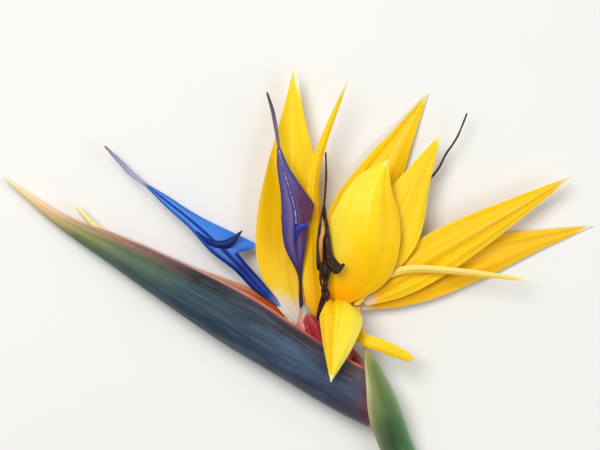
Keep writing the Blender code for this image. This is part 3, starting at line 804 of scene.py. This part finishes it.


# Each sepal: midline, half widths, cup, fold, pale share at the base, colours from base to tip,
# painted highlight and painted shade for its two sides, and creases.
SEPALS = {
    "a": (
        [
            (5.5, -46, 10), (-3.5, -31.5, 7.4), (-6.2, -14.5, 6.4), (-4.6, 3.5, 7.4), (-3.5, 24, 9),
            (-3, 45, 9.7), (-2.3, 66.4, 9),
        ],
        [1.8, 6.9, 11.9, 13.4, 10.4, 5, 0.3], (0.3, 0.1, -0.2, -0.24, -0.22, -0.15), 2.0, 0.17,
        ((228, 214, 202), (250, 204, 40), (255, 198, 0), (255, 212, 10), (252, 246, 214)),
        ((255, 198, 0), (255, 212, 16)), ((0, 0.09, 0.55), (0.5, 0.2, 0.35), (-0.55, 0.22, -0.3)),
    ),
    "b": (
        [(6.7, -38.4, 14.6), (5.1, -18, 14.9), (5, 2, 14.8), (7.3, 27, 16.4), (20.3, 61.5, 18.6)],
        [3.2, 4.2, 3.7, 2.5, 1.8, 0.3], (0.1, 0.3, 0.45, 0.4), 1.2, 0.02,
        ((226, 152, 0), (244, 172, 0), (255, 196, 0), (255, 212, 20), (250, 246, 206)),
        ((255, 214, 20), (240, 168, 0)), ((0, 0.2, 0.3),),
    ),
    "c": (
        [(15, -33.2, 7.3), (18.9, -9.4, 6.2), (29.4, 13, 5.2), (41.6, 34.4, 3.2), (54.2, 55.7, 0.5)],
        [2, 9, 12.4, 9.4, 4.6, 0.3], (0, 0.1, 0.1, 0.08), 2.0, 0.03,
        ((250, 176, 0), (255, 192, 0), (255, 204, 8), (255, 202, 14), (254, 242, 180)),
        ((255, 204, 14), (255, 206, 10)), ((-0.72, 0.1, 1.1), (-0.5, 0.12, -0.5), (0.25, 0.25, 0.5)),
    ),
    "d": (
        [
            (17, -31.9, 11), (28.6, -13.6, 13.2), (40.4, 1.8, 14.4), (48.6, 18.4, 13.6),
            (59.2, 38.2, 11.4),
        ],
        [2, 11.2, 13.2, 9.6, 5, 0.3], (0, 0.1, 0.12, 0.1), 2.0, 0.03,
        ((255, 184, 0), (255, 206, 0), (255, 212, 8), (255, 208, 16), (254, 244, 196)),
        ((255, 210, 16), (255, 214, 30)), ((0.4, 0.16, -0.55), (0.75, 0.16, 0.5), (-0.25, 0.3, 0.5)),
    ),
    "e": (
        [(15.4, -33.4, 14), (23.4, -16.5, 20.4), (27.3, 0, 24), (30.2, 14.7, 23.6), (36.3, 27, 20.6)],
        [2.4, 14.2, 15.6, 13, 8, 0.4], (0.1, 0.3, 0.32, 0.3), 2.0, 0.03,
        ((255, 164, 0), (255, 176, 0), (255, 212, 0), (255, 228, 36), (255, 238, 150)),
        ((255, 232, 80), (255, 196, 0)), ((0.15, 0.2, 0.5), (-0.5, 0.16, 0.5), (0.62, 0.14, -0.5)),
    ),
    "f": (
        [
            (25.8, -32.6, 9.6), (43.3, -21.4, 10.4), (64, -8.4, 11.4), (87.4, 5, 11.6),
            (113.8, 20.2, 10.2),
        ],
        [2, 7.5, 9.2, 7.8, 4.4, 0.3], (0, 0.12, 0.16, 0.15), 2.0, 0.07,
        ((236, 206, 184), (255, 196, 14), (255, 202, 10), (255, 208, 40), (250, 246, 214)),
        ((255, 198, 16), (255, 206, 24)),
        ((-0.7, 0.1, -0.9), (-0.05, 0.2, 1.6), (0.38, 0.1, -1.2), (0.62, 0.12, 0.8)),
    ),
    "g": (
        [
            (22.9, -34.4, 6.5), (46.2, -26.4, 5.4), (69.3, -16.6, 4), (96.6, -7.5, 2.2),
            (124, -0.4, 0.45),
        ],
        [2, 6.5, 8.8, 8, 4, 0.3], (0, 0.08, 0.1, 0.1), 2.0, 0.07,
        ((236, 214, 190), (244, 180, 12), (252, 190, 12), (255, 202, 46), (250, 246, 214)),
        ((255, 204, 30), (250, 188, 12)), ((-0.45, 0.14, 1.1), (0.1, 0.12, -0.9), (0.5, 0.2, 0.5)),
    ),
    "h": (
        [
            (22.9, -33.6, 12.8), (32.6, -23.6, 13.8), (45.4, -18.6, 14.9), (67.2, -19.5, 16.4),
            (96, -23.1, 16.6),
        ],
        [1.4, 1.6, 1.7, 1.6, 1.3, 0.8], (0.2, 0.4, 0.5, 0.4), 1.2, 0.03,
        ((255, 206, 40), (255, 216, 70), (255, 226, 110), (255, 224, 120), (254, 246, 210)),
        ((255, 238, 150), (250, 204, 60)), ((0, 0.25, 0.3),),
    ),
    "i": (
        [
            (19.2, -36.5, 12.6), (16.7, -31.6, 19.6), (17.4, -37.2, 26), (15.6, -50, 28),
            (12.8, -65, 26.6),
        ],
        [2, 4.9, 9, 6.2, 0.3], (0.1, 0.3, 0.36, 0.4), 2.0, 0.03,
        ((250, 176, 0), (255, 180, 0), (255, 214, 20), (255, 226, 50), (255, 252, 210)),
        ((255, 238, 96), (250, 182, 0)), ((0.5, 0.12, -1.5), (0.26, 0.14, 0.9), (-0.5, 0.3, 0.4)),
    ),
    "j": (
        [(22.8, -38, 11.9), (25.4, -46.6, 17), (35.7, -51, 19.6), (47.2, -56.2, 18.4)],
        [1.4, 2.4, 2.6, 2.6, 1.6], (0.1, 0.3, 0.3), 1.4, 0.03,
        ((255, 196, 0), (255, 206, 10), (255, 214, 20), (255, 208, 20), (250, 196, 60)),
        ((255, 224, 60), (255, 196, 0)), ((0.1, 0.2, -0.4),),
    ),
}
NARROW = 4.0  # half width in millimetres under which a sepal is flatter and has fewer veins
for order, (letter, (*shape, pale, flesh, sides, creases)) in enumerate(SEPALS.items()):
    yellow = sepal_skin(f"sepal_{letter}_yellow", pale, *flesh, *sides)
    wave, veins, unevenness = (0.1, 12.0, 0.2) if max(shape[1]) < NARROW else (0.45, 42.0, 0.8)
    sepal = blade(f"sepal_{letter}_flesh", *shape, yellow, creases=creases, wave=wave, hook=0.8)
    vein(sepal, yellow, veins, 0.05, unevenness, float(order))
    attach(sepal, "root")
    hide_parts(f"sepal_{letter}")

# The thin bracts: a pink membrane at the near side of the throat, and the cream tip of a bud that
# is still closed inside the spathe.


def bract_skin(name, stops, streak_colour):
    skin, tree, shader = open_skin(name, flesh=(0.2, 0.003), wax=(0.15, 0.03))
    along, _, _, _, follow = read_leaf(tree)
    streak = fibres(tree, follow, (10.0, 2.0, 3.0))
    share = between(tree, streak, 0.45, 0.7, 0.0, 0.5)
    colour = blend(tree, share, ramp(tree, along, stops), streak_colour)
    dress(tree, shader, colour, streak, (0.35, 0.5), streak, 0.4, 0.15)
    return skin


pink_stops = [(0.0, 170, 40, 50), (0.6, 176, 52, 60), (1.0, 190, 96, 96)]
pink_skin = bract_skin("bract_pink", pink_stops, (140, 20, 20))
MEMBRANE_ROUTE = [(9, -54, 17.2), (6.5, -46, 17.7), (4.4, -41, 17.3), (3, -37.2, 16.1)]
MEMBRANE_CREASES = ((-0.5, 0.14, 0.7), (-0.1, 0.12, -0.8), (0.4, 0.16, 0.6))
membrane = blade(
    "inner_bract_flesh", MEMBRANE_ROUTE, [2.5, 4.2, 3.8, 0.9], (0.3, 0.4, 0.3), 2.0, pink_skin,
    thick=0.6, creases=MEMBRANE_CREASES, wave=0.9, steps=60, strips=24,
)
vein(membrane, pink_skin, 26.0, 0.05, 0.3, 5.0)
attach(membrane, "root")
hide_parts("inner_bract")

cream_stops = [(0.0, 210, 190, 120), (0.7, 240, 226, 150), (1.0, 250, 244, 200)]
cream_skin = bract_skin("bud_cream", cream_stops, (226, 200, 110))
BUD_ROUTE = [(-30, -36, 10.6), (-62, -18, 8.8), (-84, -2.6, 7), (-95, 8.8, 6.6)]
bud = blade(
    "bud_tip_flesh", BUD_ROUTE, [1.4, 1.7, 1.5, 0.8], (0.3, 0.3), 2.0, cream_skin, thick=1.2, wave=0.05,
    steps=80, strips=16,
)
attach(bud, "root")
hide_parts("bud_tip")

# The arrows, two fused petals on each flower: a thin stalk, two wings swept back as barbs, and a
# groove along the top that holds the style. One is fresh and blue, one purple, one dried up.
ARROW_BASE = 0.03  # share of an arrow's length that rounds off its foot
PETAL_EDGE = 0.14  # half the thickness at the edge of a wing
GROOVE_HALF = 0.17  # half the groove's width, as a share of half the arrow's
GROOVE_FADE = 0.08  # share of the length over which the groove deepens


def arrow(
    name, route, half_widths, heights, barbs, skin, groove=0.8, opens=0.36, crumple=0.0, steps=170,
    strips=36,
):
    """Barbs are (side, place, flare, sweep, drop, lead, trail): a wing that grows over the lead,
    in shares of the length, to its widest at the place, and ends within the trail. The groove
    opens at its own share of the length."""
    t = np.linspace(0.0, 1.0, steps + 1)
    a = np.linspace(-1.0, 1.0, strips + 1)
    place, side, up, along = (part[:, None] for part in frame_at(route, t))
    rows, columns = t[:, None], a[None, :]
    half = np.maximum(smooth(half_widths, t) * rounded(t / ARROW_BASE), 0.2)[:, None]
    high = np.maximum(smooth(heights, t) * rounded(t / ARROW_BASE), 0.15)[:, None]
    middle = place + side * (half * columns)[..., None]
    for hand, where, flare, sweep, drop, lead, trail in barbs:
        ahead = np.clip(1 - (rows - where) / lead, 0.0, 1.0) ** 2.2
        behind = np.clip(1 - (where - rows) / trail, 0.0, 1.0) ** 0.72
        near = np.where(rows >= where, ahead, behind)
        reach = near * np.clip((hand * columns - 0.15) / 0.85, 0.0, 1.0) ** 1.2
        middle = middle + (side * hand * flare - along * sweep - up * drop) * reach[..., None]
    flat = 1 - 0.75 * np.clip(np.linalg.norm(middle - place, axis=-1) / 7.0, 0.0, 1.0)
    ridge = high * (1 - np.abs(columns) ** 2.5) * flat
    opened = np.clip((rows - opens) / GROOVE_FADE, 0.0, 1.0)
    dent = groove * high * np.exp(-((columns / GROOVE_HALF) ** 2)) * opened
    ripple = crumple * np.sin(9 * columns + 14 * rows) * np.sin(37 * rows + 3 * columns)
    hull = high * 0.9 * np.sqrt(np.clip(1 - columns**2, 0.0, 1.0)) * flat
    top = middle + up * (ridge - dent + PETAL_EDGE + ripple)[..., None]
    under = middle - up * (hull + PETAL_EDGE - ripple)[..., None]
    return shell(name, top, under, t, a, skin)


def petal_skin(name, stops, ridge_highlight, groove_colour, edge_colour, wing_colour, roughness):
    """Satin petal flesh with a painted highlight on the crown each side of a dark groove, and its
    right wing's own colour."""
    skin, tree, shader = open_skin(name, shine=0.12, flesh=(0.05, 0.0015), wax=(0.03, 0.3))
    along, across, q, inside, follow = read_leaf(tree)
    streak = fibres(tree, follow, (16.0, 7.0, 3.0), 1.0, 5.0, 0.6)
    grain = fibres(tree, follow, (50.0, 40.0, 3.0), 1.0, 3.0)
    # painted highlight along the crown on each side of the groove
    crown_highlight = times(tree, between(tree, q, 0.12, 0.3), between(tree, q, 0.45, 0.8, 1.0, 0.0))
    crown_highlight = times(tree, crown_highlight, calc(tree, "MULTIPLY_ADD", streak, 1.6, -0.3))
    crown_highlight = times(tree, crown_highlight, between(tree, along, 0.3, 0.46, 0.2, 1.0))
    crown_highlight = times(tree, crown_highlight, calc(tree, "SUBTRACT", 1.0, inside))
    colour = blend(tree, crown_highlight, ramp(tree, along, stops), ridge_highlight)
    colour = coats(tree, colour, 1.0, (groove_colour, streak, 0.5, 0.75, 0.0, 0.6))
    slit = between(tree, along, 0.33, 0.42)
    colour = coats(tree, colour, slit, (groove_colour, q, 0.02, 0.13, 0.85, 0.0))
    colour = coats(tree, colour, 1.0, (edge_colour, q, 0.78, 1.0, 0.0, 0.6))
    wing = times(tree, between(tree, across, 0.12, 0.34), between(tree, along, 0.4, 0.5))
    wing = times(tree, wing, between(tree, along, 0.62, 0.8, 1.0, 0.0))
    colour = coats(tree, colour, wing, (wing_colour, streak, 0.25, 0.6, 0.5, 1.0))
    colour = coats(tree, colour, 1.0, (groove_colour, grain, 0.5, 0.75, 0.0, 0.2))
    height = calc(tree, "ADD", streak, times(tree, grain, 0.5))
    dress(tree, shader, colour, grain, (roughness - 0.05, roughness + 0.1), height, 0.4, 0.2)
    return skin


BLUE_ROUTE = [
    (-7, -35.4, 5.2), (-17.2, -26, 10.6), (-25.6, -17, 11.4), (-34.5, -8.2, 11), (-45, 1.2, 10.4),
    (-55, 9.2, 10), (-65, 17, 9.6),
]
PURPLE_ROUTE = [
    (2.6, -45, 11.5), (0.6, -33.8, 13), (0, -21, 15.4), (-1.8, -8, 18.4), (-1.8, 4, 19.6),
    (-4.2, 14.4, 19.2), (-7.2, 24, 18.6), (-8.9, 32.5, 18),
]
DRIED_ROUTE = [
    (9.5, -47, 12), (8.4, -36.4, 15.7), (10.6, -25, 19.4), (10.4, -15, 21.6), (9.8, -4, 21.8),
    (10, 8, 21.2),
]

blue_skin = petal_skin(
    "petal_blue",
    [
        (0.0, 214, 210, 224), (0.05, 120, 130, 190), (0.11, 24, 52, 140), (0.3, 6, 26, 106),
        (0.44, 12, 50, 148), (0.6, 44, 104, 204), (0.8, 52, 116, 216), (1.0, 48, 100, 206),
    ],
    (120, 174, 250),
    (8, 30, 116),
    (14, 44, 140),
    (70, 132, 226),
    0.38,
)
blue_arrow = arrow(
    "arrow_blue_flesh", BLUE_ROUTE, [0.6, 2.6, 2.9, 4.4, 2.9, 2.2, 0.6],
    [1.2, 1.6, 1.8, 2.2, 1.9, 1.5, 0.6], [(1, 0.5, 7.2, 12.5, 3.5, 0.3, 0.1)], blue_skin, opens=0.5,
)
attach(blue_arrow, "root")
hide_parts("arrow_blue")

navy_skin = petal_skin(
    "petal_navy", [(0.0, 20, 44, 130), (1.0, 8, 16, 60)], (40, 76, 170), (2, 6, 40), (10, 20, 70),
    (10, 20, 70), 0.36,
)
blue_barb = blade(
    "arrow_blue_barb",
    [(-43.6, -2.6, 12.6), (-37.6, -7.3, 13.2), (-30.6, -8.0, 13.8), (-24.2, -2.4, 14.2)],
    [0.3, 1.2, 1.9, 0.3], (0.5, 0.5), 2.0, navy_skin, thick=0.7, wave=0.0, steps=50, strips=20,
)
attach(blue_barb, "root")

purple_skin = petal_skin(
    "petal_purple",
    [
        (0.0, 60, 34, 30), (0.3, 62, 40, 66), (0.36, 70, 52, 108), (0.6, 84, 72, 128),
        (0.85, 82, 74, 138), (1.0, 76, 68, 136),
    ],
    (124, 110, 170), (42, 30, 88), (70, 50, 108), (92, 42, 62), 0.42,
)
violet_skin = petal_skin(
    "petal_violet", [(0.0, 40, 36, 120), (1.0, 60, 64, 176)], (84, 104, 214), (20, 16, 70),
    (50, 50, 150), (50, 50, 150), 0.4,
)
purple_arrow = arrow(
    "arrow_purple_flesh", PURPLE_ROUTE, [0.9, 0.9, 1, 4.2, 5, 4, 2.4, 0.7],
    [0.8, 0.8, 0.9, 1.5, 1.8, 1.6, 1.3, 0.6],
    [(1, 0.62, 3.6, 1, 0.5, 0.27, 0.08), (-1, 0.57, 1.2, 0, 0.2, 0.22, 0.26)], purple_skin,
)
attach(purple_arrow, "root")
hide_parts("arrow_purple")

tongue = blade(
    "arrow_purple_tongue", [(-2, -6, 19.6), (-1.2, -2.4, 21), (1, -0.4, 21.6), (3.9, 0.4, 21.4)],
    [0.6, 1.5, 1.2, 0.3], (0.5, 0.5), 2.0, violet_skin, thick=0.6, wave=0.0, steps=40, strips=16,
)
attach(tongue, "root")


def dried_skin():
    skin, tree, shader = open_skin("dried_brown", wax=(0.25, 0.25))
    place = put(tree, "ShaderNodeTexCoord").outputs["Object"]
    crust = speckle(tree, place, 380.0, 6.0, 0.6, 1.2)
    stops = [(0.3, 24, 12, 6), (0.5, 48, 26, 12), (0.66, 78, 46, 22), (0.8, 170, 118, 56)]
    dress(tree, shader, ramp(tree, crust, stops), crust, (0.35, 0.7), crust, 0.8, 0.4)
    return skin


brown_skin = dried_skin()
dried_arrow = arrow(
    "arrow_dried_flesh", DRIED_ROUTE, [0.9, 1.1, 1, 3.2, 2.6, 0.6], [0.6, 0.6, 0.5, 0.9, 0.9, 0.4],
    [(1, 0.575, 4.6, 1.5, -0.4, 0.1, 0.035), (-1, 0.56, 0.6, 1.5, 0.2, 0.3, 0.03)], brown_skin,
    groove=1.4, opens=0.5, crumple=0.2,
)
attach(dried_arrow, "root")
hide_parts("arrow_dried")

# Four shreds of the dried arrow: two twisted strands down its stalk, the curled hook of its torn
# barb, and a strip of tan skin that has split off along the groove.
tan_stops = [(0.0, 150, 92, 36), (0.3, 222, 162, 84), (0.75, 236, 184, 110), (1.0, 150, 92, 40)]
tan_skin = stalk_skin("dried_tan", tan_stops, (120, 66, 24), 0.6, 0.5)
SHREDS = {
    "left": (
        [(8.9, -44, 14.6), (7.9, -36.8, 17), (12, -29, 20), (8.7, -24, 21.4), (8.9, -15, 22)],
        [0.7, 0.8, 0.6, 0.5, 0.6], brown_skin,
    ),
    "right": (
        [
            (9.9, -41, 15.4), (12.6, -35, 17.6), (9.4, -27.6, 19.6), (11.7, -21.5, 21.6),
            (11.9, -14, 22.2),
        ],
        [0.6, 0.8, 0.6, 0.5, 0.6], brown_skin,
    ),
    "hook": (
        [(11.6, -15.6, 22.6), (15, -19.2, 24.4), (17.6, -16.6, 25.2), (18.4, -16.9, 24.8)],
        [0.9, 1.1, 0.8, 0.4], brown_skin,
    ),
    "strip": (
        [(8.9, -15.5, 23.6), (8.6, -8, 24.2), (9.6, -2, 24.4), (9.2, 3.4, 23.4)], [0.5, 0.8, 0.7, 0.3],
        tan_skin,
    ),
}
twisted = {"steps": 70, "sides": 20, "ribs": 3.0, "rib_height": 0.14, "lumps": 0.7}
for label, (route, radii, skin) in SHREDS.items():
    shred = stalk(f"arrow_dried_{label}", route, radii, skin, **twisted)
    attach(shred, "root")


def bead_rule():
    """Sets a row of beads along a path, each one sized a little differently."""
    inputs = [("Spacing", "Float", 0.5 * MM), ("Bead", "Float", 0.2 * MM), ("Seed", "Int", 2)]
    rule, given = open_rule("groove_beads", inputs)
    path = first(rule, "GeometryNodeMeshToCurve", {0: given["Geometry"]})
    path = {0: path, "Length": given["Spacing"]}
    path = first(rule, "GeometryNodeResampleCurve", path, mode="LENGTH")
    bead = first(rule, "GeometryNodeMeshIcoSphere", {"Radius": given["Bead"], "Subdivisions": 2})
    bead = first(rule, "GeometryNodeSetShadeSmooth", {0: bead})
    return dotted(rule, given, path, bead, (0.6, 0.6, 0.6), (1.2, 1.2, 1.0))


BEAD_RULE = bead_rule()


def groove_beads(name, route, start, end, lift, spacing, size, skin):
    """Beads along the groove of an arrow, between two shares of its length."""
    place, _, up, _ = frame_at(route, np.linspace(start, end, 90))
    sizes = {"Spacing": spacing * MM, "Bead": size * MM, "Seed": 2, "Skin": skin}
    return grow(chain(name, place + up * lift), BEAD_RULE, sizes)


lilac_stops = [(0.35, 150, 140, 200), (0.65, 232, 228, 250)]
lilac_beads = mottled_skin("lilac_beads", 0.35, lilac_stops, 1500.0)
purple_beads = groove_beads(
    "arrow_purple_beads", PURPLE_ROUTE, 0.53, 0.97, 0.95, 0.72, 0.3, lilac_beads
)
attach(purple_beads, "root")
navy_stops = [(0.35, 6, 20, 96), (0.65, 60, 110, 210)]
navy_beads = mottled_skin("navy_beads", 0.35, navy_stops, 1500.0)
blue_beads = groove_beads("arrow_blue_beads", BLUE_ROUTE, 0.56, 0.97, 0.9, 0.66, 0.24, navy_beads)
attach(blue_beads, "root")

# The styles, slender rods that stand out past the arrows, lilac on the fresh flowers. The dried
# flower keeps a brown thread, and a second one is left by a flower whose petals are gone.
lilac_stops = [(0.0, 150, 140, 190), (0.15, 190, 184, 214), (0.6, 166, 160, 190), (1.0, 150, 122, 140)]
lilac_skin = stalk_skin("style_lilac", lilac_stops, (120, 104, 168), 0.5, 0.4, flesh=(0.1, 0.001))
dusk_stops = [(0.0, 120, 116, 160), (0.4, 120, 110, 140), (0.8, 92, 66, 84), (1.0, 90, 70, 90)]
dusk_skin = stalk_skin("style_dusk", dusk_stops, (80, 60, 96), 0.5, 0.45)
STYLES = {
    "style_blue": (
        [(-64.2, 16.4, 9.6), (-71.0, 21.8, 9.4), (-76.5, 27.4, 9.2), (-82.2, 33.2, 9.0)],
        [0.7, 1.15, 0.95, 0.35], lilac_skin,
    ),
    "style_purple": (
        [(-8.7, 31.6, 18.0), (-10.0, 40.0, 18.2), (-11.5, 48.0, 18.4), (-13.8, 55.4, 19.0)],
        [0.5, 0.8, 0.75, 0.4], dusk_skin,
    ),
    "style_dried_1": (
        [(10.0, 7.2, 21.2), (10.6, 15.0, 21.4), (10.9, 22.0, 21.6), (10.7, 30.2, 21.8)],
        [0.4, 0.45, 0.4, 0.3], brown_skin,
    ),
    "style_dried_2": (
        [
            (18.6, -30.4, 8.3), (34, -8, 8.8), (44, 10, 9), (56.5, 21.4, 8.8), (61.6, 30, 8.6),
            (66.2, 37, 8.6), (70.4, 47, 8.6),
        ],
        [0.6, 0.6, 0.6, 0.5, 0.45, 0.4, 0.35], brown_skin,
    ),
}
for label, (route, radii, skin) in STYLES.items():
    style = stalk(f"{label}_flesh", route, radii, skin, 70, 20, ribs=3.0, rib_height=0.08, lumps=0.35)
    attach(style, "root")
    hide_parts(label)
